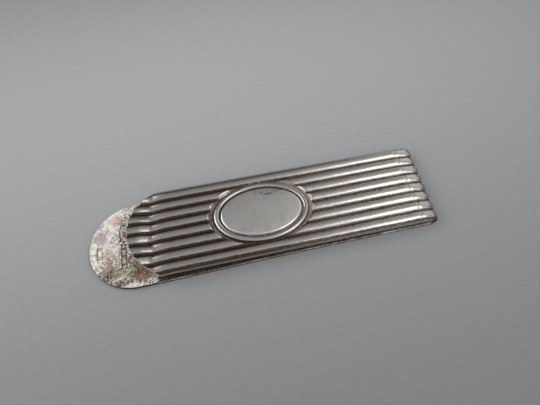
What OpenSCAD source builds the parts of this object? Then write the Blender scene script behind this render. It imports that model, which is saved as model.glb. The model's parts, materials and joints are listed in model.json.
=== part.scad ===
// Spring clip for folded banknotes: one reeded silver strip folded into two leaves.
// Origin at the centre of the footprint, on the table. +X towards the fold, +Z up.

/* [Strip] */
// Length from the back leaf's round tip to the outside of the fold
clip_l = 60; // [56:0.5:66]
// Width of the strip
strip_w = 16; // [15:0.5:17]
// Thickness of the strip, without the ribs
strip_t = 0.78; // [0.7:0.02:0.9]

/* [Fold] */
// Space between the two leaves where the fold begins
fold_gap = 0.45; // [0.4:0.05:0.8]
// Slope of the front leaf away from the back leaf, in degrees
leaf_rise = 0.9; // [0.5:0.1:1.5]
// How far past the outermost point of the fold the ribs run down, in degrees
rib_stop = 38; // [20:1:40]

/* [Ribs] */
// Number of ribs across the strip
rib_count = 8; // [6:1:10]
// Height of the ribs above the strip
rib_h = 0.45; // [0.3:0.05:0.5]
// Plain land left at each long edge of the strip
edge_land = 0.08; // [0.05:0.01:0.3]

/* [Front leaf] */
// How far the front leaf stops short of the back leaf's tip
front_short = 6.9; // [5:0.1:8]
// Radius of the front leaf's end, seen from above
front_end_r = 9; // [9:0.5:12]
// Distance from the start of the dip to the front leaf's end
dip_l = 7.2; // [7:0.1:9]
// Slope down into the dip, in degrees
dip_angle = 9; // [6:1:10]
// Slope of the turned-up lip, in degrees
lip_angle = 9; // [6:1:14]
// Radius of the leaf where it starts to dip
dip_r = 14; // [8:1:16]
// Radius of the leaf where it turns up into the lip
lip_r = 5; // [4:1:6]

/* [Oval] */
// Length of the oval plate
plate_l = 14.3; // [12:0.1:15]
// Width of the oval plate
plate_w = 9.3; // [8:0.1:9.5]
// Height of the plate above the bottoms of the grooves
plate_h = 0.42; // [0.35:0.01:0.6]
// Chamfer round the top of the plate
plate_chamfer = 0.12; // [0.05:0.01:0.2]
// Channel between the plate and the raised ring
channel_w = 0.4; // [0.3:0.05:0.5]
// Width of the raised ring at its foot
ring_w = 0.75; // [0.6:0.05:0.8]
// Height of the raised ring above the bottoms of the grooves
ring_h = 0.5; // [0.4:0.01:0.6]
// Flat border outside the ring, at the oval's two ends
border_end = 0.8; // [0.5:0.05:1]
// Flat border outside the ring, at the oval's two long sides
border_side = 0.3; // [0.2:0.05:0.4]
// Slope of the ribs' ends, measured along the leaf
rib_end_run = 0.25; // [0.1:0.05:0.4]

/* [Back leaf] */
// Depth of the two small struck marks
mark_d = 0.08; // [0.05:0.01:0.15]

/* [Hidden] */
$fn = 96;
silver = [0.78, 0.77, 0.74];
bright_silver = [0.86, 0.86, 0.84];

// The fold is measured from its own centre: its axis runs along Y.
fold_in_r = fold_gap / 2;
fold_mid_r = fold_in_r + strip_t / 2;
groove_r = fold_in_r + strip_t;
crest_r = groove_r + rib_h;
fold_x = clip_l / 2 - crest_r;

// Each rib is the crown of a round bar whose chord is the rib's pitch.
rib_pitch = (strip_w - 2 * edge_land) / rib_count;
rib_r = (pow(rib_pitch / 2, 2) + pow(rib_h, 2)) / (2 * rib_h);
rib_root = strip_t / 8;

front_l = clip_l - front_short - crest_r;
flat_l = front_l - dip_l;
leaf_over = 1;

ring_in_l = plate_l + 2 * channel_w;
ring_in_w = plate_w + 2 * channel_w;
ring_out_l = ring_in_l + 2 * ring_w;
ring_out_w = ring_in_w + 2 * ring_w;
border_l = ring_out_l + 2 * border_end;
border_w = ring_out_w + 2 * border_side;
ring_side = ring_w * 0.3;
ring_foot = ring_h * 0.4;
cut_over = 0.2;

mark_x = 5.4 - clip_l / 2;
mark_oval_l = 1.5;
mark_oval_w = 3.4;
mark_oval_y = 2;
mark_bar_l = 0.9;
mark_bar_w = 3.4;
mark_bar_y = -2.1;
mark_square = 1.4;
mark_square_x = 1.7 - clip_l / 2;

// Cross-sections of the strip: X is the height over the fold's axis, Y runs across the strip.
module plain_section() {
    translate([fold_in_r, -strip_w / 2]) square([strip_t, strip_w]);
}

module rib_crowns() {
    for (i = [0 : rib_count - 1])
        translate([groove_r - rib_root, (i - rib_count / 2) * rib_pitch])
            intersection() {
                square([rib_h + rib_root, rib_pitch]);
                translate([rib_h + rib_root - rib_r, rib_pitch / 2]) circle(r = rib_r);
            }
}

module ribbed_section() {
    plain_section();
    rib_crowns();
}

// A straight length of ribbed strip that runs towards -X.
module straight_leaf(length) {
    rotate([0, -90, 0]) linear_extrude(height = length) ribbed_section();
}

// A length of strip that curves down, and the place where it ends.
module curve_down(r, angle) {
    translate([0, 0, fold_mid_r - r]) rotate([90, 0, 0]) rotate([0, 0, 90])
        rotate_extrude(angle = angle) translate([r - fold_mid_r, 0]) ribbed_section();
}

module after_curve_down(r, angle) {
    translate([0, 0, fold_mid_r - r]) rotate([0, -angle, 0])
        translate([0, 0, r - fold_mid_r]) children();
}

// The same for a length that curves up.
module curve_up(r, angle) {
    translate([0, 0, fold_mid_r + r]) rotate([90, 0, 0]) rotate([0, 0, -90 - angle])
        rotate_extrude(angle = angle) translate([r + fold_mid_r, 0]) mirror([1, 0]) ribbed_section();
}

module after_curve_up(r, angle) {
    translate([0, 0, fold_mid_r + r]) rotate([0, angle, 0])
        translate([0, 0, -r - fold_mid_r]) children();
}

// Places a piece of the front leaf: fold's axis at the origin, leaf towards -X.
module on_front_leaf() {
    translate([fold_x, 0, groove_r]) rotate([0, leaf_rise, 0]) children();
}

// Places a piece at the oval's centre, standing on the bottoms of the grooves.
module on_oval() {
    on_front_leaf() translate([-fold_x, 0, groove_r]) children();
}

// A round-sided block squeezed into an oval, its sides sloping from foot to top.
module oval_block(length, width, top_length, height) {
    scale([1, width / length, 1]) cylinder(h = height, d1 = length, d2 = top_length);
}

module front_outline() {
    intersection() {
        translate([-front_l, -strip_w / 2]) square([front_l, strip_w]);
        union() {
            translate([front_end_r - front_l, -strip_w / 2]) square([front_l, strip_w]);
            translate([front_end_r - front_l, 0]) circle(r = front_end_r);
        }
    }
}

module back_outline() {
    translate([(strip_w - clip_l) / 2, 0]) circle(d = strip_w);
    translate([(strip_w - clip_l) / 2, -strip_w / 2]) square([fold_x + (clip_l - strip_w) / 2, strip_w]);
}

// Plain leaf that lies on the table. Its tip shows two struck marks and a small square one.
module back_leaf() {
    color(silver) difference() {
        linear_extrude(height = strip_t) back_outline();
        translate([mark_x, mark_oval_y, strip_t - mark_d])
            oval_block(mark_oval_l, mark_oval_w, mark_oval_l, mark_d + cut_over);
        translate([mark_x - mark_bar_l / 2, mark_bar_y - mark_bar_w / 2, strip_t - mark_d])
            cube([mark_bar_l, mark_bar_w, mark_d + cut_over]);
        translate([mark_square_x - mark_square / 2, -mark_square / 2, strip_t - mark_d])
            cube([mark_square, mark_square, mark_d + cut_over]);
    }
}

// Sweeps a section round the fold, from the front leaf downwards.
module round_the_fold(angle) {
    translate([fold_x, 0, groove_r]) rotate([90, 0, 0]) rotate([0, 0, 90 - leaf_rise])
        mirror([0, 1, 0]) rotate_extrude(angle = angle) children();
}

// The tight fold that joins the leaves and acts as the clip's spring. Its ribs run out underneath.
module spring_fold() {
    color(silver) {
        round_the_fold(180 - leaf_rise) plain_section();
        round_the_fold(90 - leaf_rise + rib_stop) rib_crowns();
    }
}

// Keeps what lies inside the front leaf's outline, seen from above.
module trimmed_to_outline() {
    on_front_leaf() intersection() {
        children();
        translate([0, 0, -leaf_over]) linear_extrude(height = crest_r + 3 * leaf_over) front_outline();
    }
}

// Ribbed leaf, straight up to the place where it starts to dip. Its ribs stop short of the oval.
module front_leaf() {
    color(silver) difference() {
        trimmed_to_outline() union() {
            straight_leaf(flat_l);
            translate([-flat_l, 0, 0]) curve_down(dip_r, dip_angle);
        }
        on_oval() oval_block(border_l, border_w, border_l + 4 * rib_end_run, 2 * rib_h);
    }
}

// The leaf's free end: it dips, then turns up into a lip that lets the notes slide in.
module finger_lip() {
    color(silver) trimmed_to_outline() translate([-flat_l, 0, 0]) after_curve_down(dip_r, dip_angle) {
        curve_up(lip_r, dip_angle + lip_angle);
        after_curve_up(lip_r, dip_angle + lip_angle) straight_leaf(dip_l);
    }
}

// Smooth oval plate with a flat face and a narrow chamfer.
module oval_plate() {
    color(bright_silver) on_oval() intersection() {
        union() {
            oval_block(plate_l, plate_w, plate_l, plate_h - plate_chamfer);
            translate([0, 0, plate_h - plate_chamfer])
                oval_block(plate_l, plate_w, plate_l - 4 * plate_chamfer, 2 * plate_chamfer);
        }
        translate([-plate_l, -plate_w, -cut_over]) cube([2 * plate_l, 2 * plate_w, cut_over + plate_h]);
    }
}

// Raised ring round the plate: upright at its foot, sloping above.
module oval_ring() {
    color(silver) on_oval() difference() {
        union() {
            oval_block(ring_out_l, ring_out_w, ring_out_l, ring_foot);
            translate([0, 0, ring_foot])
                oval_block(ring_out_l, ring_out_w, ring_out_l - 2 * ring_side, ring_h - ring_foot);
        }
        translate([0, 0, -cut_over])
            oval_block(ring_in_l, ring_in_w, ring_in_l, cut_over + ring_foot);
        translate([0, 0, ring_foot])
            oval_block(ring_in_l, ring_in_w, ring_in_l + 4 * ring_side, 2 * (ring_h - ring_foot));
    }
}

back_leaf();
spring_fold();
front_leaf();
finger_lip();
oval_plate();
oval_ring();
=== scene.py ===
"""Reeded silver clip for folded banknotes: a strip folded in two, with an oval plate on its front."""
import json
import math
import bmesh
import bpy
from mathutils import Matrix, Vector, noise


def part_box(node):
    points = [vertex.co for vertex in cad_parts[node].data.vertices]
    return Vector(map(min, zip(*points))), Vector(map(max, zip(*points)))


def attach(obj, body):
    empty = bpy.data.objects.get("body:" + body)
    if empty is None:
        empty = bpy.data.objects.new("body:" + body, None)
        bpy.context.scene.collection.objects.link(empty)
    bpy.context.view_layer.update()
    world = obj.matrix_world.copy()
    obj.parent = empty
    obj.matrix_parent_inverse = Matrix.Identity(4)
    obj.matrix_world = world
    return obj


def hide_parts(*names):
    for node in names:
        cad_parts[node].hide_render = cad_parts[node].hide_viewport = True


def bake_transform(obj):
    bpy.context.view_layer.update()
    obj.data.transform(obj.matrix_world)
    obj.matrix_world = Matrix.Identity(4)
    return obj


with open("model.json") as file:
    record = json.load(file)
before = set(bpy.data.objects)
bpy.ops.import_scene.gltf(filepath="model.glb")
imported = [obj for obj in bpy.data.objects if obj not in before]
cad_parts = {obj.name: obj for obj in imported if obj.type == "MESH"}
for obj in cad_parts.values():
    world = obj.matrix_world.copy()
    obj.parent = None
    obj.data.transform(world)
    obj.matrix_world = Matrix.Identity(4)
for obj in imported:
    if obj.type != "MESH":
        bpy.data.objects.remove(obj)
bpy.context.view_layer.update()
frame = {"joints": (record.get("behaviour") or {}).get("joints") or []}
mm = 0.001

# ---------------------------------------------------------------------------------------------
# Front leaf and finger lip: the upper half of one strip of sterling silver, rolled with eight round
# ribs that were struck flat round the oval. Its free end dips, turns up and is cut to a round.
# Handling has polished the crests and left dark tarnish in the grooves.

fold_axis = Vector(frame["joints"][0]["pos_m"])
fold_low, fold_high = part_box("spring_fold")
strip_w = fold_high.y - fold_low.y
strip_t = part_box("back_leaf")[1].z

# From the fold's axis to the bottom of the grooves, to the strip's inner face and to its middle.
groove_r = fold_axis.z
inner_r = groove_r - strip_t
mid_r = groove_r - strip_t / 2

rib_count = 8
rib_h = fold_high.x - fold_axis.x - groove_r
edge_land = 0.08 * mm
edge_round = 0.07 * mm
rib_pitch = (strip_w - 2 * edge_land) / rib_count
rib_r = ((rib_pitch / 2) ** 2 + rib_h ** 2) / (2 * rib_h)

leaf_rise = math.radians(0.9)
front_l = fold_axis.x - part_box("finger_lip")[0].x
front_end_r = 9 * mm
dip_start = front_l - 7.4 * mm
leaf_bends = (
    # radius of the bend, and the straight length after it with the slope it has there
    (14 * mm, 0.5 * mm, math.radians(-10)),
    (2.6 * mm, 1.3 * mm, math.radians(15.5)),
    (3.4 * mm, 3 * mm, math.radians(3)),
)

# Half-length and half-width of the oval plate, the widths of what lies round it, and the half-length
# and half-width of the whole border that was struck flat.
plate_a = 7.15 * mm
plate_b = 4.65 * mm
channel_w = 0.28 * mm
ring_w = 0.90 * mm
border_end = 0.75 * mm
border_side = 0.28 * mm
border_a = plate_a + channel_w + ring_w + border_end
border_b = plate_b + channel_w + ring_w + border_side
shoulder_w = 0.28 * mm


def stations(*stretches):
    """Places along a line: each stretch is (start, end, largest step)."""
    places = [stretches[0][0]]
    for start, end, step in stretches:
        count = math.ceil(abs(end - start) / step)
        places += [start + (end - start) * i / count for i in range(1, count + 1)]
    return places


def ease(x, start=0.0, end=1.0):
    """Smooth step: 0 at start and before it, 1 at end and past it."""
    x = min(max((x - start) / (end - start), 0.0), 1.0)
    return x * x * (3 - 2 * x)


def close_to(distance, reach):
    """1 on a line, easing to 0 on both sides of it."""
    return ease(abs(distance), reach, 0)


def across_the_ribs(steps):
    """Places across the strip: close together in the grooves and at both long edges."""
    edge = [strip_w / 2 - share * edge_round for share in (0, 0.15, 0.4, 1)]
    places = [-y for y in edge]
    for rib in range(rib_count):
        middle = (rib + 0.5 - rib_count / 2) * rib_pitch
        for i in range(0 if rib == 0 else 1, steps + 1):
            t = 2 * i / steps - 1
            places.append(middle + rib_pitch / 2 * (t + math.sin(math.pi * t / 2)) / 2)
    return places + edge[::-1]


# How far the tarnish climbs out of a groove, as a share of the way up to the crest. It climbs
# highest on the flanks that face the far edge, and the flank at the near edge is the darkest:
# past the real tarnish, this extra dark on the far-facing flanks and at the near edge is painted
# shade for the dark room that those flanks reflect.
near_climb = 0.56
far_climb_and_shade = 1.15
near_edge_climb_and_shade = 0.84
near_edge_tarnish_and_shade = 1.2
far_edge_tarnish = 0.4


def rib_crown(y):
    """Height of the ribs over the strip, which rib it is, and how much tarnish and painted shade it holds."""
    place = y / rib_pitch + rib_count / 2
    if not 0 < place < rib_count:
        return 0.0, 0, 1.0
    off_centre = place - math.floor(place) - 0.5
    crown = math.sqrt(rib_r ** 2 - (off_centre * rib_pitch) ** 2) - (rib_r - rib_h)
    up_the_flank = 1 - 2 * abs(off_centre)
    # The near edge and the far-facing flanks carry painted shade on top of their tarnish.
    if place < 0.5:
        groove = near_edge_tarnish_and_shade * ease(up_the_flank, near_edge_climb_and_shade, 0)
    elif place > rib_count - 0.5:
        groove = far_edge_tarnish * ease(up_the_flank, far_climb_and_shade, 0)
    else:
        groove = ease(up_the_flank, near_climb if off_centre < 0 else far_climb_and_shade, 0)
    return crown, math.floor(place), groove


gilt_and_reflection_middle = 0.58
gilt_and_reflection_blend = 1 / 3


def far_flank_gilt_and_reflection(y):
    """Golden film on the flank of each rib that faces the far edge only: partly real film, partly a painted
    reflection of the brownish room, since the near flanks are kept bare.
    """
    place = y / rib_pitch + rib_count / 2
    return ease(0.5 + (place - math.floor(place) - gilt_and_reflection_middle) / gilt_and_reflection_blend)


def beyond_oval(x, y, a, b):
    """Distance outside an oval, negative inside it."""
    k = math.hypot(x / a, y / b)
    if k == 0:
        return -b
    return (k - 1) * k / math.hypot(x / a ** 2, y / b ** 2)


def rounded_edge(inside, radius):
    """How far a rounded rim falls below its face, at a distance inside the outline."""
    if inside >= radius:
        return 0.0
    return radius - math.sqrt(radius ** 2 - (radius - max(inside, 0.0)) ** 2)


def handled(x, y, size, depth, seed):
    """Slight unevenness of metal that was rolled and bent by hand."""
    return depth * noise.noise(Vector((x / size, y / size, seed)))


def in_scene(name, bm):
    """Puts a finished mesh in the scene as an object of its own."""
    mesh = bpy.data.meshes.new(name)
    bm.to_mesh(mesh)
    bm.free()
    piece = bpy.data.objects.new(name, mesh)
    bpy.context.scene.collection.objects.link(piece)
    return piece


sharpest_rim = math.radians(50)


def two_sided_sheet(name, lengths, widths, top, underside):
    """A closed sheet of two grids joined at the rim.

    top and underside say where each vertex goes, how much tarnish and painted shade it carries, and how much
    gilt and painted reflection it has.
    """
    bm = bmesh.new()
    hollow = bm.verts.layers.float.new("hollow")
    gilt = bm.verts.layers.float.new("gilt")
    columns, rows = len(lengths) - 1, len(widths) - 1
    for place, flip in ((top, False), (underside, True)):
        made = bmesh.ops.create_grid(bm, x_segments=columns, y_segments=rows, size=1)["verts"]
        for v in made:
            i = round((v.co.x + 1) / 2 * columns)
            j = round((v.co.y + 1) / 2 * rows)
            v.co, v[hollow], v[gilt] = place(lengths[i], widths[j])
        if flip:
            faces = {f for v in made for f in v.link_faces}
            bmesh.ops.reverse_faces(bm, faces=list(faces))
    rims = [e for e in bm.edges if e.is_boundary]
    walls = bmesh.ops.bridge_loops(bm, edges=rims)["faces"]
    bmesh.ops.recalc_face_normals(bm, faces=bm.faces)
    for f in bm.faces:
        f.smooth = True
    for f in walls:
        for e in f.edges:
            e.smooth = e.calc_face_angle(0) < sharpest_rim
    return in_scene(name, bm)


def leaf_line(s):
    """Distance from the fold's axis, height and slope of the leaf's middle line, s along it."""
    x, z, slope = min(s, dip_start), 0.0, 0.0
    s -= dip_start
    for radius, straight, end_slope in leaf_bends:
        if s <= 0:
            break
        start_slope = slope
        sign = math.copysign(1, end_slope - start_slope)
        slope = start_slope + sign * min(s / radius, abs(end_slope - start_slope))
        x += sign * radius * (math.sin(slope) - math.sin(start_slope))
        z += sign * radius * (math.cos(start_slope) - math.cos(slope))
        s -= radius * abs(end_slope - start_slope)
        run = min(max(s, 0.0), straight)
        x += run * math.cos(slope)
        z += run * math.sin(slope)
        s -= straight
    return x, z, slope


fold_stretch = 0.62 * mm
fold_skew = 0.6 * mm
stretch_in_leaves = 0.35
leaf_stretch_ends = (17 * mm, 31 * mm)
fold_stretch_ends = (26.6 * mm, 30.6 * mm)
fold_droop = 0.40
droop_ends = (26.5 * mm, 30.1 * mm)
tip_slew = 0.36 * mm
slew_ends = (8 * mm, -26 * mm)


def hand_bent(point):
    """The fold is long and askew, the upper half droops there, and the lower half runs to one side."""
    drawn_out = fold_stretch + fold_skew * point.y / (strip_w / 2)
    drawn_out *= (stretch_in_leaves * ease(point.x, *leaf_stretch_ends)
                  + (1 - stretch_in_leaves) * ease(point.x, *fold_stretch_ends))
    if point.z > fold_axis.z:
        point.z -= fold_droop * ease(point.x, *droop_ends) * (point.z - fold_axis.z)
    else:
        point.y -= tip_slew * ease(point.x, *slew_ends)
    point.x += drawn_out
    return point


def on_front_leaf(reach, y, height):
    """A point of the front leaf: reach from the fold's axis seen from above, height over that axis."""
    s = reach
    for _ in range(3):
        s += reach - leaf_line(s)[0]
    wander = handled(y, 0, size=1.5 * mm, depth=0.9 * mm, seed=4.4)
    _, z, slope = leaf_line(s + wander * ease(s, dip_start, dip_start + mm))
    off = height - mid_r
    along = off * math.sin(slope) - reach
    up = mid_r + z + off * math.cos(slope)
    return hand_bent(Vector((
        fold_axis.x + along * math.cos(leaf_rise) + up * math.sin(leaf_rise),
        y,
        fold_axis.z - along * math.sin(leaf_rise) + up * math.cos(leaf_rise),
    )))


stretch_start = 43 * mm


def leaf_reach(s, y):
    """Columns run straight across the leaf, and bend to its round end beyond stretch_start."""
    if s <= stretch_start:
        return s, front_l - s
    end = front_l - front_end_r + math.sqrt(front_end_r ** 2 - y ** 2)
    reach = stretch_start + (s - stretch_start) * (end - stretch_start) / (front_l - stretch_start)
    return reach, front_end_r - math.hypot(reach - front_l + front_end_r, y)


crease_reach = 1.7 * mm
crease_w = 0.24 * mm
crease_depth = 0.09 * mm


def dented(crown, reach, y, rib):
    """A rib's height with the dents of use, and the crease that the bending tool left by the fold."""
    crown += handled(reach, 5 * mm * rib, size=3.2 * mm, depth=0.02 * mm, seed=3.1) * crown / rib_h
    crease_line = crease_reach + handled(y, 0, size=1.1 * mm, depth=0.45 * mm, seed=9.2)
    crown -= crease_depth * close_to(reach - crease_line, crease_w) * ease(crown, 0, rib_h)
    crown += handled(reach, 7 * mm * rib, size=1.3 * mm, depth=0.008 * mm, seed=6.4) * crown / rib_h
    return crown


def wavy(reach, y):
    """The strip itself is not quite flat."""
    return handled(reach, y, size=9 * mm, depth=0.02 * mm, seed=1.7)


# Tarnish on the flat border: some all over it, more in the channel and at the foot of the shoulders,
# and most along the ring. A golden film lies over the border, and handling has cleaned the rims.
border_tarnish = 0.47
ring_line_tarnish = 0.5
channel_tarnish = 0.3
shoulder_tarnish = 0.75
ring_line = 0.06 * mm
line_w = 0.24 * mm
border_gilt = 0.8
clean_end = 0.8
clean_side = 0.6
clean_inner_end = 0.6
clean_inner_side = 0.85


def front_top(s, y):
    reach, from_end = leaf_reach(s, y)
    from_side = strip_w / 2 - abs(y)
    crown, rib, groove = rib_crown(y)
    x = reach - fold_axis.x
    outside = beyond_oval(x, y, border_a, border_b)
    beyond_ring = beyond_oval(x, y, border_a - border_end, border_b - border_side)
    in_channel = beyond_ring + ring_w + channel_w / 2
    crown *= math.sin(math.pi / 2 * min(max(outside / shoulder_w, 0.0), 1.0))
    crown = dented(crown, reach, y, rib)
    border = (border_tarnish + ring_line_tarnish * close_to(beyond_ring - ring_line, line_w)
              + channel_tarnish * close_to(in_channel, line_w))
    groove = max(groove * ease(outside, 0, 0.1 * mm),
                 border * ease(outside, shoulder_w / 2, 0),
                 shoulder_tarnish * close_to(outside, line_w / 2))
    sag = rounded_edge(min(from_side, from_end), edge_round)
    level = groove_r + crown - sag + wavy(reach, y)
    worn_end = ease(from_end, 2 * edge_round, 0)
    worn_side = ease(from_side, 0.6 * edge_round, 0)
    groove *= (1 - clean_end * worn_end) * (1 - clean_side * worn_side)
    # The gold on the far-facing flanks is partly painted reflection; the border's gold is film.
    gilt = max(far_flank_gilt_and_reflection(y) * ease(outside, 0, 0.3 * mm), border_gilt * ease(outside, 0.2 * mm, 0))
    return on_front_leaf(reach, y, level), groove, gilt


# The front leaf's inner face is dark: tarnish, and painted shade for the gap between the leaves.
def front_under(s, y):
    reach, from_end = leaf_reach(s, y)
    from_side = strip_w / 2 - abs(y)
    rise = rounded_edge(min(from_side, from_end), edge_round)
    worn = max(clean_inner_end * ease(from_end, 2 * edge_round, 0),
               clean_inner_side * ease(from_side, edge_round, 0))
    return on_front_leaf(reach, y, inner_r + rise), 1 - worn, 0


crease_end = 2.6 * mm
oval_start = 18.4 * mm
oval_end = 38.7 * mm
leaf_columns = stations(
    (0, crease_end, 0.16 * mm),
    (crease_end, oval_start, 0.6 * mm),
    (oval_start, oval_end, 0.105 * mm),
    (oval_end, stretch_start, 0.5 * mm),
    (stretch_start, front_l - 3 * edge_round, 0.17 * mm),
    (front_l - 3 * edge_round, front_l - edge_round, edge_round),
    (front_l - edge_round, front_l, 0.02 * mm),
)
strip_rows = across_the_ribs(steps=14)
reeded_leaf = two_sided_sheet("reeded_leaf", leaf_columns, strip_rows, front_top, front_under)


def shader_group(name, sockets_in, sockets_out):
    """An empty node group with its named sockets."""
    group = bpy.data.node_groups.new(name, "ShaderNodeTree")
    for side, sockets in (("INPUT", sockets_in), ("OUTPUT", sockets_out)):
        for label, kind, value in sockets:
            socket = group.interface.new_socket(name=label, in_out=side, socket_type=kind)
            if value is not None:
                socket.default_value = value
    return group, group.nodes.new("NodeGroupInput").outputs, group.nodes.new("NodeGroupOutput").inputs


def join(tree, socket, value):
    """Gives a socket a number or a colour, or links another node's socket to it."""
    if isinstance(value, bpy.types.NodeSocket):
        tree.links.new(value, socket)
    else:
        socket.default_value = value


def add(tree, kind, settings=None, **inputs):
    """A node with its settings and inputs; an input is named, or numbered after an underscore."""
    node = tree.nodes.new(kind)
    for key, value in (settings or {}).items():
        setattr(node, key, value)
    for key, value in inputs.items():
        if key[0] == "_":
            socket = node.inputs[int(key[1:])]
        elif key in node.inputs:
            socket = node.inputs[key]
        else:
            socket = node.inputs[key.replace("_", " ")]
        join(tree, socket, value)
    return node


def plus(tree, a, b):
    return add(tree, "ShaderNodeMath", {"operation": "ADD"}, _0=a, _1=b).outputs[0]


def minus(tree, a, b):
    return add(tree, "ShaderNodeMath", {"operation": "SUBTRACT"}, _0=a, _1=b).outputs[0]


def times(tree, a, b):
    return add(tree, "ShaderNodeMath", {"operation": "MULTIPLY"}, _0=a, _1=b).outputs[0]


def over(tree, a, b):
    return add(tree, "ShaderNodeMath", {"operation": "DIVIDE"}, _0=a, _1=b).outputs[0]


def swing(tree, cloud, size):
    """A noise turned into a swing about zero."""
    return times(tree, minus(tree, cloud, 0.5), size)


def mapped(tree, value, low, high, to_low=0.0, to_high=1.0):
    node = add(tree, "ShaderNodeMapRange", {"interpolation_type": "SMOOTHSTEP"},
               Value=value, From_Min=low, From_Max=high, To_Min=to_low, To_Max=to_high)
    return node.outputs["Result"]


def mix(tree, share, a, b):
    node = add(tree, "ShaderNodeMix", {"data_type": "RGBA"}, _0=share, _6=a, _7=b)
    return node.outputs[2]


def object_place(tree):
    """Where a point lies on the piece, as X, Y and Z."""
    where = tree.nodes.new("ShaderNodeTexCoord").outputs["Object"]
    return add(tree, "ShaderNodeSeparateXYZ", _0=where).outputs


def object_noise(tree, scale, detail=3.0, roughness=0.6, stretch=(1, 1, 1)):
    """Noise in the object's own coordinates; scale is features per millimetre."""
    where = tree.nodes.new("ShaderNodeTexCoord").outputs["Object"]
    placed = add(tree, "ShaderNodeMapping", Vector=where, Scale=[k * scale / mm for k in stretch])
    node = add(tree, "ShaderNodeTexNoise", Vector=placed.outputs[0], Scale=1.0,
               Detail=detail, Roughness=roughness)
    return node.outputs[0]


# Tarnish, with the painted shade that comes in on the same mask, starts in the hollows and thins out over the
# shoulders, uneven from place to place.
# Towards the fold the film turns golden and less of it goes dark.
tarnish_group, given, out = shader_group(
    "silver_tarnish",
    [("Hollow", "NodeSocketFloat", 0.0), ("Gilt", "NodeSocketFloat", 0.0), ("Reach", "NodeSocketFloat", 0.5),
     ("Silver", "NodeSocketColor", (0.8, 0.78, 0.75, 1)),
     ("Film", "NodeSocketColor", (0.42, 0.30, 0.20, 1)),
     ("Thin_Film", "NodeSocketColor", (0.6, 0.48, 0.30, 1)),
     ("Deep", "NodeSocketColor", (0.05, 0.028, 0.022, 1))],
    [("Color", "NodeSocketColor", None), ("Dark", "NodeSocketFloat", None)],
)
tree = tarnish_group
patchy = object_noise(tree, 0.16, 4)
grainy = object_noise(tree, 2.6, 3)
crumbs = object_noise(tree, 4.2, 3, 0.75)
rubbed = object_noise(tree, 3.4, 3, 0.7, (0.6, 1.0, 1.0))
spread = plus(tree, given["Hollow"], swing(tree, patchy, 0.5))
spread = plus(tree, spread, swing(tree, grainy, 0.65))
film_start = minus(tree, 1.0, given["Reach"])
drifting_x = plus(tree, object_place(tree)["X"], times(tree, patchy, 12 * mm))
toward_fold = mapped(tree, drifting_x, 2 * mm, 20 * mm)
film = mapped(tree, minus(tree, spread, film_start), 0.0, 0.30)
deep_start = plus(tree, film_start, times(tree, toward_fold, 0.16))
deep = mapped(tree, minus(tree, spread, deep_start), 0.16, 0.46)
deep = times(tree, deep, mapped(tree, crumbs, 0.40, 0.60, 0.66, 1.0))
golden = mix(tree, given["Gilt"], given["Silver"], given["Thin_Film"])
rubbed_through = mapped(tree, rubbed, 0.40, 0.60, 0.0, 0.6)
golden = mix(tree, times(tree, rubbed_through, given["Gilt"]), golden, given["Film"])
film_color = mix(tree, toward_fold, given["Film"], golden)
filmed = mix(tree, film, given["Silver"], film_color)
join(tree, out["Color"], mix(tree, deep, filmed, given["Deep"]))
join(tree, out["Dark"], times(tree, plus(tree, film, deep), 0.5))

# Fine scratches and pits of worn silver: a height for the bump and an uneven gloss.
wear_group, given, out = shader_group(
    "silver_wear",
    [("Along", "NodeSocketFloat", 1.0), ("Dark", "NodeSocketFloat", 0.0)],
    [("Height", "NodeSocketFloat", None), ("Gloss", "NodeSocketFloat", None)],
)
tree = wear_group
lengthwise = object_noise(tree, 3.0, 3, 0.7, (0.06, 1.6, 1.0))
crosswise = object_noise(tree, 3.0, 3, 0.7, (1.5, 0.12, 1.0))
pits = object_noise(tree, 4.5, 2, 0.6)
ripples = object_noise(tree, 1.3, 2, 0.5)
cloudy = object_noise(tree, 0.35, 3)
scratches = add(tree, "ShaderNodeMix", {"data_type": "FLOAT"}, _0=given["Along"], _2=crosswise, _3=lengthwise)
height = plus(tree, scratches.outputs[0], times(tree, pits, 0.5))
height = plus(tree, height, times(tree, times(tree, pits, given["Dark"]), 2.0))
height = plus(tree, height, times(tree, ripples, 3.0))
join(tree, out["Height"], height)
join(tree, out["Gloss"], plus(tree, times(tree, cloudy, 0.22), times(tree, given["Dark"], 0.22)))

scratch_depth = 0.01 * mm


def silver_material(name, reach, silver, film, thin_film, deep, dullness, scratched, along=1.0):
    """Worn sterling silver: bright metal, brown film in the hollows, fine scratches."""
    material = bpy.data.materials.new(name)
    material.use_nodes = True
    tree = material.node_tree
    shader = tree.nodes["Principled BSDF"]
    shader.inputs["Metallic"].default_value = 1.0
    hollow = add(tree, "ShaderNodeAttribute", {"attribute_name": "hollow"}).outputs["Fac"]
    gilt = add(tree, "ShaderNodeAttribute", {"attribute_name": "gilt"}).outputs["Fac"]
    tarnish = add(tree, "ShaderNodeGroup", {"node_tree": tarnish_group},
                  Hollow=hollow, Gilt=gilt, Reach=reach, Silver=(*silver, 1), Film=(*film, 1),
                  Thin_Film=(*thin_film, 1), Deep=(*deep, 1)).outputs
    wear = add(tree, "ShaderNodeGroup", {"node_tree": wear_group}, Along=along, Dark=tarnish["Dark"]).outputs
    relief = add(tree, "ShaderNodeBump", Height=wear["Height"], Strength=scratched, Distance=scratch_depth)
    join(tree, shader.inputs["Base Color"], tarnish["Color"])
    join(tree, shader.inputs["Roughness"], plus(tree, wear["Gloss"], dullness))
    join(tree, shader.inputs["Normal"], relief.outputs[0])
    return material


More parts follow.
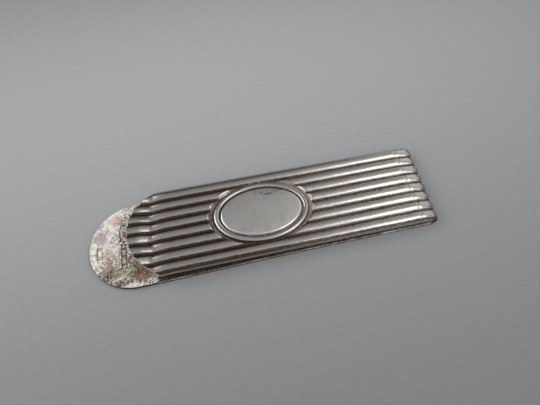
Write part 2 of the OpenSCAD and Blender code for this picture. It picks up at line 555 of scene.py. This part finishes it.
reeded_silver = silver_material(
    "reeded_silver", reach=0.74, dullness=0.12, scratched=0.40,
    silver=(0.49, 0.48, 0.46), film=(0.27, 0.19, 0.145),
    thin_film=(0.73, 0.60, 0.43), deep=(0.055, 0.033, 0.026))
reeded_leaf.data.materials.append(reeded_silver)
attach(reeded_leaf, "front")
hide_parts("front_leaf", "finger_lip")

# ---------------------------------------------------------------------------------------------
# Fold: the same reeded strip bent round a thin rod. It is the spring that closes the clip. The ribs
# run on round the outside and fade out underneath.

rib_fade_start = math.radians(-8)
rib_fade_end = math.radians(-38)
flattened = 0.35


def fold_point(angle, y, radius):
    return hand_bent(Vector((
        fold_axis.x + radius * math.cos(angle), y, fold_axis.z + radius * math.sin(angle))))


def fold_outside(angle, y):
    crown, rib, groove = rib_crown(y)
    ribbed = ease(angle, rib_fade_end, rib_fade_start)
    crown *= ribbed * (1 - flattened * ease(angle, fold_top, fold_top - math.pi / 2))
    crown = dented(crown, 0, y, rib)
    sag = rounded_edge(strip_w / 2 - abs(y), edge_round)
    level = groove_r + crown - sag + wavy(0, y) * ribbed
    return fold_point(angle, y, level), groove, far_flank_gilt_and_reflection(y)


# The inside of the fold is dark all over: tarnish, and painted shade between the leaves.
def fold_inside(angle, y):
    rise = rounded_edge(strip_w / 2 - abs(y), edge_round)
    return fold_point(angle, y, inner_r + rise), 1, 0


fold_top = math.pi / 2 - leaf_rise
fold_bottom = -math.pi / 2
fold_angles = stations((fold_top, fold_bottom, math.radians(3)))
fold_piece = two_sided_sheet("sprung_fold", fold_angles, strip_rows, fold_outside, fold_inside)
fold_piece.data.materials.append(reeded_silver)
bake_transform(fold_piece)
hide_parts("spring_fold")

# ---------------------------------------------------------------------------------------------
# Back leaf: the plain lower half of the strip, left flat, with a round tip that reaches past the
# front leaf. Its inner face is mottled where the tarnish was rubbed off unevenly, and it carries
# three struck marks: an oval with a round pellet, a bar of plain blocks and a lozenge in a frame.

back_low, back_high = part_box("back_leaf")
tip_r = strip_w / 2
tip_centre = back_low.x + tip_r
back_round = 0.13 * mm
back_stretch = -15 * mm


def back_reach(x, y):
    """Columns run straight across the leaf, and bend to its round tip beyond back_stretch."""
    if x >= back_stretch:
        return x, strip_w / 2 - abs(y)
    end = tip_centre - math.sqrt(max(tip_r ** 2 - y ** 2, 0.0))
    x = back_stretch + (x - back_stretch) * (end - back_stretch) / (back_low.x - back_stretch)
    inside = tip_r - math.hypot(x - tip_centre, y) if x < tip_centre else tip_r - abs(y)
    return x, inside


lip_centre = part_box("finger_lip")[0].x + front_end_r
lip_shadow_aside = 1.1 * mm
shaded_band_start = -19.3 * mm


def covered_and_shaded(x, y):
    """The part of the back leaf that lies under the front leaf: tarnish that was never rubbed, darkened
    further as painted shade, with the lip's painted shadow set a little to one side.
    """
    under_lip = front_end_r - math.hypot(min(x - lip_centre, 0.0), y - lip_shadow_aside)
    return max(ease(under_lip, 0, 0.5 * mm), ease(x, shaded_band_start, shaded_band_start + mm))


oval_mark = Vector((-24.1 * mm, 2.5 * mm))
oval_mark_half = Vector((0.85 * mm, 1.75 * mm))
pellet_r = 0.38 * mm
bar_mark = Vector((-24.2 * mm, -2.0 * mm))
bar_mark_half = Vector((0.5 * mm, 2.25 * mm))
block_step = 1.5 * mm
block_half_l = 0.34 * block_step
block_half_w = 0.27 * mm
small_mark = Vector((-28.2 * mm, -0.6 * mm))
small_mark_half = Vector((0.58 * mm, 1.2 * mm))
lozenge_half_w = 0.30 * mm
lozenge_slimness = 2.1
mark_depth = 0.07 * mm
mark_slope = 0.1 * mm
figure_h = 0.8
figure_edge = 0.09 * mm
border_line = 0.08 * mm
border_line_w = 0.14 * mm


def struck_marks(x, y):
    """Depth of the struck marks, and how dark their lines are."""
    u, v = x - oval_mark.x, y - oval_mark.y
    oval = beyond_oval(u, v, oval_mark_half.x, oval_mark_half.y)
    pellet = math.hypot(u, v) - pellet_r
    u, v = x - bar_mark.x, y - bar_mark.y
    bar = max(abs(u) - bar_mark_half.x, abs(v) - bar_mark_half.y)
    blocks = max(abs(v % block_step - block_step / 2) - block_half_l, abs(u) - block_half_w)
    u, v = x - small_mark.x, y - small_mark.y
    small = max(abs(u) - small_mark_half.x, abs(v) - small_mark_half.y)
    lozenge = abs(u) + abs(v) / lozenge_slimness - lozenge_half_w
    depth, dark = 0.0, 0.0
    for outline, raised, field, top, border in (
            # the mark's outline and raised figure, and how dark its field, figure and border are
            (oval, pellet, 0.10, 0.45, 0.74),
            (bar, blocks, 0.50, 0.0, 0.74),
            (small, lozenge, 0.28, 0.0, 0.42)):
        if outline < 0:
            figure = ease(raised, figure_edge / 2, -figure_edge / 2)
            depth = mark_depth * ease(outline, 0, -mark_slope) * (1 - figure_h * figure)
            dark = max(field + (top - field) * figure,
                       border * close_to(outline + border_line, border_line_w))
    return depth, dark


# The rim is brighter than the rest under the front leaf, and darker than the rest at the tip.
# Under the front leaf the underside and its lower rim are dark as painted shade where the leaf sits on the
# table.
back_rim_w = 0.05 * mm
clean_rim = 0.8
tip_rim_tarnish = 0.55
under_rim_w = 0.4 * mm
under_rim_tarnish_and_shade = 0.8
tip_under_tarnish = 0.2
back_under_tarnish_and_shade = 0.95


def back_top(x, y):
    x, inside = back_reach(x, y)
    depth, dark = struck_marks(x, y)
    uneven = 0.01 * mm + handled(x, y, size=4 * mm, depth=0.012 * mm, seed=5.5)
    level = strip_t - rounded_edge(inside, back_round) - depth - uneven
    rim = ease(inside, back_rim_w, 0)
    # Under the front leaf the back leaf is dark: unrubbed tarnish and painted shade.
    under_leaf = covered_and_shaded(x, y) * (1 - clean_rim * rim)
    tip_rim = tip_rim_tarnish * rim * (1 - covered_and_shaded(x, y))
    return hand_bent(Vector((x, y, level))), max(dark, under_leaf, tip_rim), 0


def back_under(x, y):
    x, inside = back_reach(x, y)
    # Painted shade: the underside and lower rim are dark under the front leaf.
    face = tip_under_tarnish + (back_under_tarnish_and_shade - tip_under_tarnish) * covered_and_shaded(x, y)
    rim = under_rim_tarnish_and_shade * ease(inside, under_rim_w, 0)
    return hand_bent(Vector((x, y, rounded_edge(inside, back_round)))), max(face, rim), 0


marks_start = -22.5 * mm
back_columns = stations(
    (back_high.x, back_stretch, 1.2 * mm),
    (back_stretch, marks_start, 0.4 * mm),
    (marks_start, back_low.x + 3 * back_round, 0.08 * mm),
    (back_low.x + 3 * back_round, back_low.x, 0.04 * mm),
)
row_count = 190
crowding = 0.55


def back_row(i):
    """Place of a row across the leaf; the rows crowd together towards both edges."""
    t = 2 * i / row_count - 1
    crowded = (1 - crowding) * t + crowding * math.sin(math.pi / 2 * t)
    return strip_w / 2 * math.sin(math.pi / 2 * crowded)


back_rows = [back_row(i) for i in range(row_count + 1)]
back_piece = two_sided_sheet("plain_back_leaf", back_columns, back_rows, back_top, back_under)


def patch_distance(tree, x, y, half_l, half_w, lean=0.0):
    """Distance from the middle of an oval patch, squared, with 1 at its outline."""
    where = object_place(tree)
    along = over(tree, minus(tree, where["X"], x), half_l)
    leaning_y = plus(tree, where["Y"], times(tree, where["X"], lean))
    across = over(tree, minus(tree, leaning_y, y), half_w)
    return plus(tree, times(tree, along, along), times(tree, across, across))


stains = (
    # middle, half-length and half-width in millimetres, and colour
    (-25.2, 4.9, 1.5, 1.2, (0.72, 0.42, 0.33)),
    (-24.1, 4.2, 0.7, 0.9, (0.26, 0.38, 0.20)),
    (-28.0, 1.4, 1.0, 1.5, (0.60, 0.46, 0.58)),
    (-25.6, -3.2, 2.0, 2.3, (0.34, 0.26, 0.19)),
    (-22.6, -3.0, 0.7, 1.2, (0.66, 0.42, 0.36)),
    (-23.0, -5.2, 1.9, 1.2, (0.22, 0.27, 0.12)),
    (-21.4, -6.5, 2.3, 1.1, (0.32, 0.12, 0.06)),
    (-27.4, -5.6, 1.5, 0.9, (0.06, 0.04, 0.035)),
    (-24.9, -7.2, 1.9, 0.6, (0.08, 0.055, 0.045)),
)
bare_silver = (0.98, 0.95, 0.89, 1)
pepper_brown = (0.10, 0.06, 0.045, 1)

# Half-rubbed tarnish is matt, so it shows less metal than the rest of the clip.
mottled_silver = bpy.data.materials.new("mottled_silver")
mottled_silver.use_nodes = True
tree = mottled_silver.node_tree
shader = tree.nodes["Principled BSDF"]
shader.inputs["Metallic"].default_value = 0.35
shader.inputs["Specular IOR Level"].default_value = 0.1
hollow = add(tree, "ShaderNodeAttribute", {"attribute_name": "hollow"}).outputs["Fac"]
bloom = object_noise(tree, 0.22, 5, 0.62)
speckle = object_noise(tree, 2.4, 4, 0.7)
hue = object_noise(tree, 0.33, 3, 0.6)
stained = mapped(tree, plus(tree, bloom, swing(tree, speckle, 0.5)), 0.45, 0.61)
rainbow = add(tree, "ShaderNodeValToRGB", Fac=hue)
ramp = rainbow.color_ramp
ramp.elements[0].position, ramp.elements[0].color = 0.36, (0.42, 0.31, 0.35, 1)
ramp.elements[1].position, ramp.elements[1].color = 0.66, (0.33, 0.16, 0.08, 1)
for place, colour in ((0.46, (0.28, 0.33, 0.20, 1)), (0.55, (0.44, 0.28, 0.16, 1))):
    ramp.elements.new(place).color = colour
tinted = mix(tree, times(tree, stained, 0.8), bare_silver, rainbow.outputs[0])

# The stains are frayed at their outlines and broken up into flecks.
frayed = swing(tree, object_noise(tree, 1.1, 5, 0.75), 3.2)
flecks = mapped(tree, object_noise(tree, 2.8, 3, 0.7), 0.34, 0.60, 0.15, 0.95)
for x, y, half_l, half_w, colour in stains:
    away = patch_distance(tree, x * mm, y * mm, half_l * mm, half_w * mm)
    spot = times(tree, mapped(tree, plus(tree, away, frayed), 1.7, 0.1), flecks)
    tinted = mix(tree, spot, tinted, (*colour, 1))

# Dark pepper lies away from the tip's outline, where fingers rub least.
where = object_place(tree)
from_tip = plus(tree, where["X"], times(tree, where["Y"], -0.45))
unrubbed = mapped(tree, from_tip, -28.5 * mm, -25.5 * mm)
peppered = times(tree, unrubbed, mapped(tree, object_noise(tree, 0.3, 2, 0.5), 0.30, 0.55))
pepper = mapped(tree, object_noise(tree, 3.2, 3, 0.75), 0.48, 0.58)
base = mix(tree, times(tree, pepper, peppered), tinted, pepper_brown)
# The near-black deep colour is also the painted shade in the gap under the front leaf.
tarnish = add(tree, "ShaderNodeGroup", {"node_tree": tarnish_group}, Hollow=hollow, Reach=0.85,
              Silver=base, Film=(0.36, 0.28, 0.22, 1), Deep=(0.022, 0.017, 0.015, 1)).outputs
wear = add(tree, "ShaderNodeGroup", {"node_tree": wear_group}, Along=0.4, Dark=tarnish["Dark"]).outputs
rough = plus(tree, plus(tree, wear["Gloss"], times(tree, stained, 0.12)), 0.30)
lumps = plus(tree, wear["Height"], times(tree, speckle, 2.0))
relief = add(tree, "ShaderNodeBump", Height=lumps, Strength=1.0, Distance=0.035 * mm)
join(tree, shader.inputs["Base Color"], tarnish["Color"])
join(tree, shader.inputs["Roughness"], rough)
join(tree, shader.inputs["Normal"], relief.outputs[0])

back_piece.data.materials.append(mottled_silver)
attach(back_piece, "back")
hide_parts("back_leaf")

# ---------------------------------------------------------------------------------------------
# Oval plate and its ring: a smooth oval field with a polished chamfer, meant for an engraving,
# inside a raised half-round moulding. Both are silver like the strip and sit in its flat border,
# with a narrow dark channel between them.

spin_steps = 160
merge_distance = 0.0005 * mm


def oval_moulding(name, a, b, profile):
    """An oval moulding with half-axes a and b.

    The profile's points are (offset outwards, height, tarnish). It is spun round and then drawn
    out to the oval.
    """
    bm = bmesh.new()
    hollow = bm.verts.layers.float.new("hollow")
    line = [bm.verts.new((a + off, 0, height)) for off, height, _ in profile]
    for v, (_, _, dark) in zip(line, profile):
        v[hollow] = dark
    edges = [bm.edges.new(pair) for pair in zip(line, line[1:])]
    bmesh.ops.spin(bm, geom=line + edges, cent=(0, 0, 0), axis=(0, 0, 1), angle=2 * math.pi,
                   steps=spin_steps, use_merge=True, use_duplicate=False)
    bmesh.ops.remove_doubles(bm, verts=bm.verts, dist=merge_distance)
    for v in bm.verts:
        off = max(math.hypot(v.co.x, v.co.y) - a, -ring_w)
        v.co.y *= (b + off) / (a + off)
    bmesh.ops.recalc_face_normals(bm, faces=bm.faces)
    for f in bm.faces:
        f.smooth = True
    for v in bm.verts:
        v.co = on_front_leaf(fold_axis.x - v.co.x, v.co.y, v.co.z)
    return in_scene(name, bm)


plate_h = 0.36 * mm
plate_top = groove_r + plate_h
plate_dome = 0.07 * mm
dome_w = 3.5 * mm
chamfer = 0.27 * mm
chamfer_steps = 4
foot = groove_r - 0.05 * mm
channel_top = groove_r + 0.1 * mm
plate_profile = [(-plate_a, foot, 0.0), (0, foot, 1.0), (0, channel_top, 0.7)]
for i in range(chamfer_steps + 1):
    turn = math.pi / 2 * i / chamfer_steps
    plate_profile.append((chamfer * (math.cos(turn) - 1), plate_top - chamfer * (1 - math.sin(turn)),
                          0.3 - 0.07 * i))
for inward in (0.5 * mm, 1.0 * mm, 1.7 * mm, 2.6 * mm, 4.5 * mm, plate_a):
    dome = plate_dome * (1 - (1 - min(inward / dome_w, 1)) ** 2)
    plate_profile.append((-inward, plate_top + dome, 0.0))
plate_piece = oval_moulding("engraving_plate", plate_a, plate_b, plate_profile)

ring_h = 0.48 * mm
ring_foot = 0.12
ring_fullness = 0.6
ring_steps = 12
ring_profile = [(-ring_w / 2, foot, 1.0)]
for i in range(ring_steps + 1):
    turn = math.pi * i / ring_steps
    lift = math.sin(turn) ** ring_fullness
    ring_profile.append((-ring_w / 2 * math.cos(turn),
                         groove_r + ring_h * (ring_foot + (1 - ring_foot) * lift),
                         0.9 * (1 - ease(1.6 * lift))))
ring_profile += [(ring_w / 2, foot, 1.0), (-ring_w / 2, foot, 1.0)]
middle = channel_w + ring_w / 2
ring_piece = oval_moulding("raised_ring", plate_a + middle, plate_b + middle, ring_profile)

plate_silver = silver_material(
    "plate_silver", reach=0.45, dullness=0.18, scratched=0.4, along=0.3,
    silver=(0.76, 0.75, 0.73), film=(0.40, 0.34, 0.28),
    thin_film=(0.40, 0.34, 0.28), deep=(0.08, 0.06, 0.05))
ring_silver = silver_material(
    "ring_silver", reach=0.4, dullness=0.16, scratched=0.3,
    silver=(0.54, 0.53, 0.51), film=(0.30, 0.23, 0.18),
    thin_film=(0.45, 0.36, 0.25), deep=(0.06, 0.04, 0.03))

# Faint smudges on the plate, and a patch of scuffs near its far edge.
smudge_grey = (0.50, 0.48, 0.44, 1)
scuff_grey = (0.16, 0.18, 0.22, 1)
tree = plate_silver.node_tree
plate_colour = tree.nodes["Principled BSDF"].inputs["Base Color"]
clean = plate_colour.links[0].from_socket
smudge = mapped(tree, object_noise(tree, 0.55, 4, 0.65), 0.50, 0.72, 0.0, 0.45)
smudged = mix(tree, smudge, clean, smudge_grey)
away = patch_distance(tree, 2.4 * mm, 3.65 * mm, 3.6 * mm, 0.75 * mm, lean=0.12)
scratch_lines = mapped(tree, object_noise(tree, 1.6, 4, 0.75, (0.8, 2.6, 1.0)), 0.44, 0.60)
scuffs = times(tree, mapped(tree, away, 1.2, 0.2), scratch_lines)
join(tree, plate_colour, mix(tree, scuffs, smudged, scuff_grey))
plate_piece.data.materials.append(plate_silver)
ring_piece.data.materials.append(ring_silver)
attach(plate_piece, "front")
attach(ring_piece, "front")
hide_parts("oval_plate")
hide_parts("oval_ring")

# ---------------------------------------------------------------------------------------------
# Table, lights, room and camera: a pale matt table top in a grey room. A soft window light comes from
# above, and soft panels stand behind the clip on the left and right, low behind it, and at its left.

table_half = 1.5
table_dullness = 0.6

bm = bmesh.new()
bmesh.ops.create_grid(bm, x_segments=1, y_segments=1, size=table_half)
table = in_scene("table_top", bm)

# The table's colour is painted palest behind the clip and darker away from it: painted light falloff, with a
# faint grain in the paint.
painted_light_centre = (-9 * mm, 37 * mm, 0)
painted_light_spread = (0.154, 0.077, 1.0)
table_paint_with_falloff = bpy.data.materials.new("table_paint_with_falloff")
table_paint_with_falloff.use_nodes = True
tree = table_paint_with_falloff.node_tree
shader = tree.nodes["Principled BSDF"]
shader.inputs["Roughness"].default_value = table_dullness
where = tree.nodes.new("ShaderNodeTexCoord").outputs["Object"]
spot = add(tree, "ShaderNodeMapping", {"vector_type": "TEXTURE"}, Vector=where,
           Location=painted_light_centre, Scale=painted_light_spread)
away = add(tree, "ShaderNodeVectorMath", {"operation": "LENGTH"}, _0=spot.outputs[0]).outputs["Value"]
painted_falloff = over(tree, 1.0, plus(tree, times(tree, away, away), 1.0))
shade = times(tree, painted_falloff, mapped(tree, object_noise(tree, 0.9, 3), 0.2, 0.8, 0.46, 0.49))
paint = add(tree, "ShaderNodeCombineColor", _0=times(tree, shade, 0.99), _1=shade,
            _2=times(tree, shade, 1.012))
join(tree, shader.inputs["Base Color"], paint.outputs[0])
table.data.materials.append(table_paint_with_falloff)

panel_distance = 0.6


def soft_panel(name, direction, size, power, colour):
    """A large soft panel of light that faces the clip."""
    lamp = bpy.data.lights.new(name, "AREA")
    lamp.shape = "RECTANGLE"
    lamp.size, lamp.size_y = size
    lamp.energy = power
    lamp.color = colour
    holder = bpy.data.objects.new(name, lamp)
    toward = Vector(direction).normalized()
    facing = toward.to_track_quat("Z", "Y").to_matrix().to_4x4()
    holder.matrix_world = Matrix.Translation(toward * panel_distance) @ facing
    bpy.context.scene.collection.objects.link(holder)


soft_panel("window", (0.52, -0.20, 0.83), (0.29, 0.25), 0.62, (0.97, 0.99, 1.0))
soft_panel("back_left_panel", (-0.74, 0.40, 0.54), (0.45, 0.35), 1.15, (1.0, 1.0, 1.0))
soft_panel("back_right_panel", (0.80, 0.40, 0.45), (0.45, 0.30), 0.22, (1.0, 1.0, 1.0))
soft_panel("side_panel", (-0.88, -0.22, 0.40), (0.34, 0.30), 0.5, (1.0, 0.99, 0.98))
soft_panel("low_panel", (0.55, 0.80, 0.24), (0.25, 0.15), 0.11, (1.0, 0.95, 0.87))

# The room gets darker and browner from front to back, and has a pale wall on the right.
world = bpy.data.worlds.new("room")
bpy.context.scene.world = world
world.use_nodes = True
tree = world.node_tree
direction = add(tree, "ShaderNodeSeparateXYZ", _0=tree.nodes.new("ShaderNodeTexCoord").outputs["Generated"])


def room_ramp(axis, stops):
    """Colour of the room along one axis, from -1 at the first stop to 1 at the last."""
    place = add(tree, "ShaderNodeMapRange", Value=direction.outputs[axis], From_Min=-1.0, From_Max=1.0)
    ramp = add(tree, "ShaderNodeValToRGB", Fac=place.outputs["Result"])
    elements = ramp.color_ramp.elements
    elements.remove(elements[1])
    for number, (along, colour) in enumerate(stops):
        element = elements[0] if number == 0 else elements.new(along)
        element.position = along
        element.color = (*colour, 1)
    return ramp.outputs[0]


front_to_back = room_ramp("Y", (
    (0.0, (0.40, 0.41, 0.43)), (0.33, (0.50, 0.50, 0.51)), (0.50, (0.40, 0.40, 0.41)),
    (0.76, (0.31, 0.31, 0.31)), (0.88, (0.16, 0.15, 0.14)), (1.0, (0.08, 0.073, 0.066))))
left_to_right = room_ramp("X", (
    (0.0, (0.50, 0.50, 0.51)), (0.2, (0.44, 0.44, 0.44)), (0.43, (0.40, 0.40, 0.40)),
    (0.58, (0.46, 0.46, 0.45)), (0.70, (0.78, 0.77, 0.75)), (0.80, (0.6, 0.6, 0.59)),
    (0.90, (0.22, 0.22, 0.22)), (1.0, (0.16, 0.16, 0.16))))
room = add(tree, "ShaderNodeVectorMath", {"operation": "MULTIPLY"}, _0=front_to_back, _1=left_to_right)
background = tree.nodes["Background"]
join(tree, background.inputs["Color"], room.outputs[0])
background.inputs["Strength"].default_value = 2.5

# The camera looks down on the clip from in front, a little from the left.
camera_data = bpy.data.cameras.new("camera")
camera_data.sensor_width = 36
camera_data.lens = 28
camera_data.clip_start = 5 * mm
camera = bpy.data.objects.new("camera", camera_data)
bpy.context.scene.collection.objects.link(camera)
bpy.context.scene.camera = camera
azimuth = math.radians(-11.06)
elevation = math.radians(57.16)
roll = math.radians(-1.94)
camera_distance = 76.98 * mm
aim = Vector((2.167 * mm, 2.994 * mm, 0))
back = Vector((math.sin(azimuth) * math.cos(elevation), -math.cos(azimuth) * math.cos(elevation),
               math.sin(elevation)))
level_right = Vector((math.cos(azimuth), math.sin(azimuth), 0))
level_up = back.cross(level_right)
right = math.cos(roll) * level_right + math.sin(roll) * level_up
up = back.cross(right)
turned = Matrix((right, up, back)).transposed().to_4x4()
camera.matrix_world = Matrix.Translation(aim + back * camera_distance) @ turned

bpy.context.scene.view_settings.view_transform = "Standard"
bpy.context.scene.view_settings.look = "None"
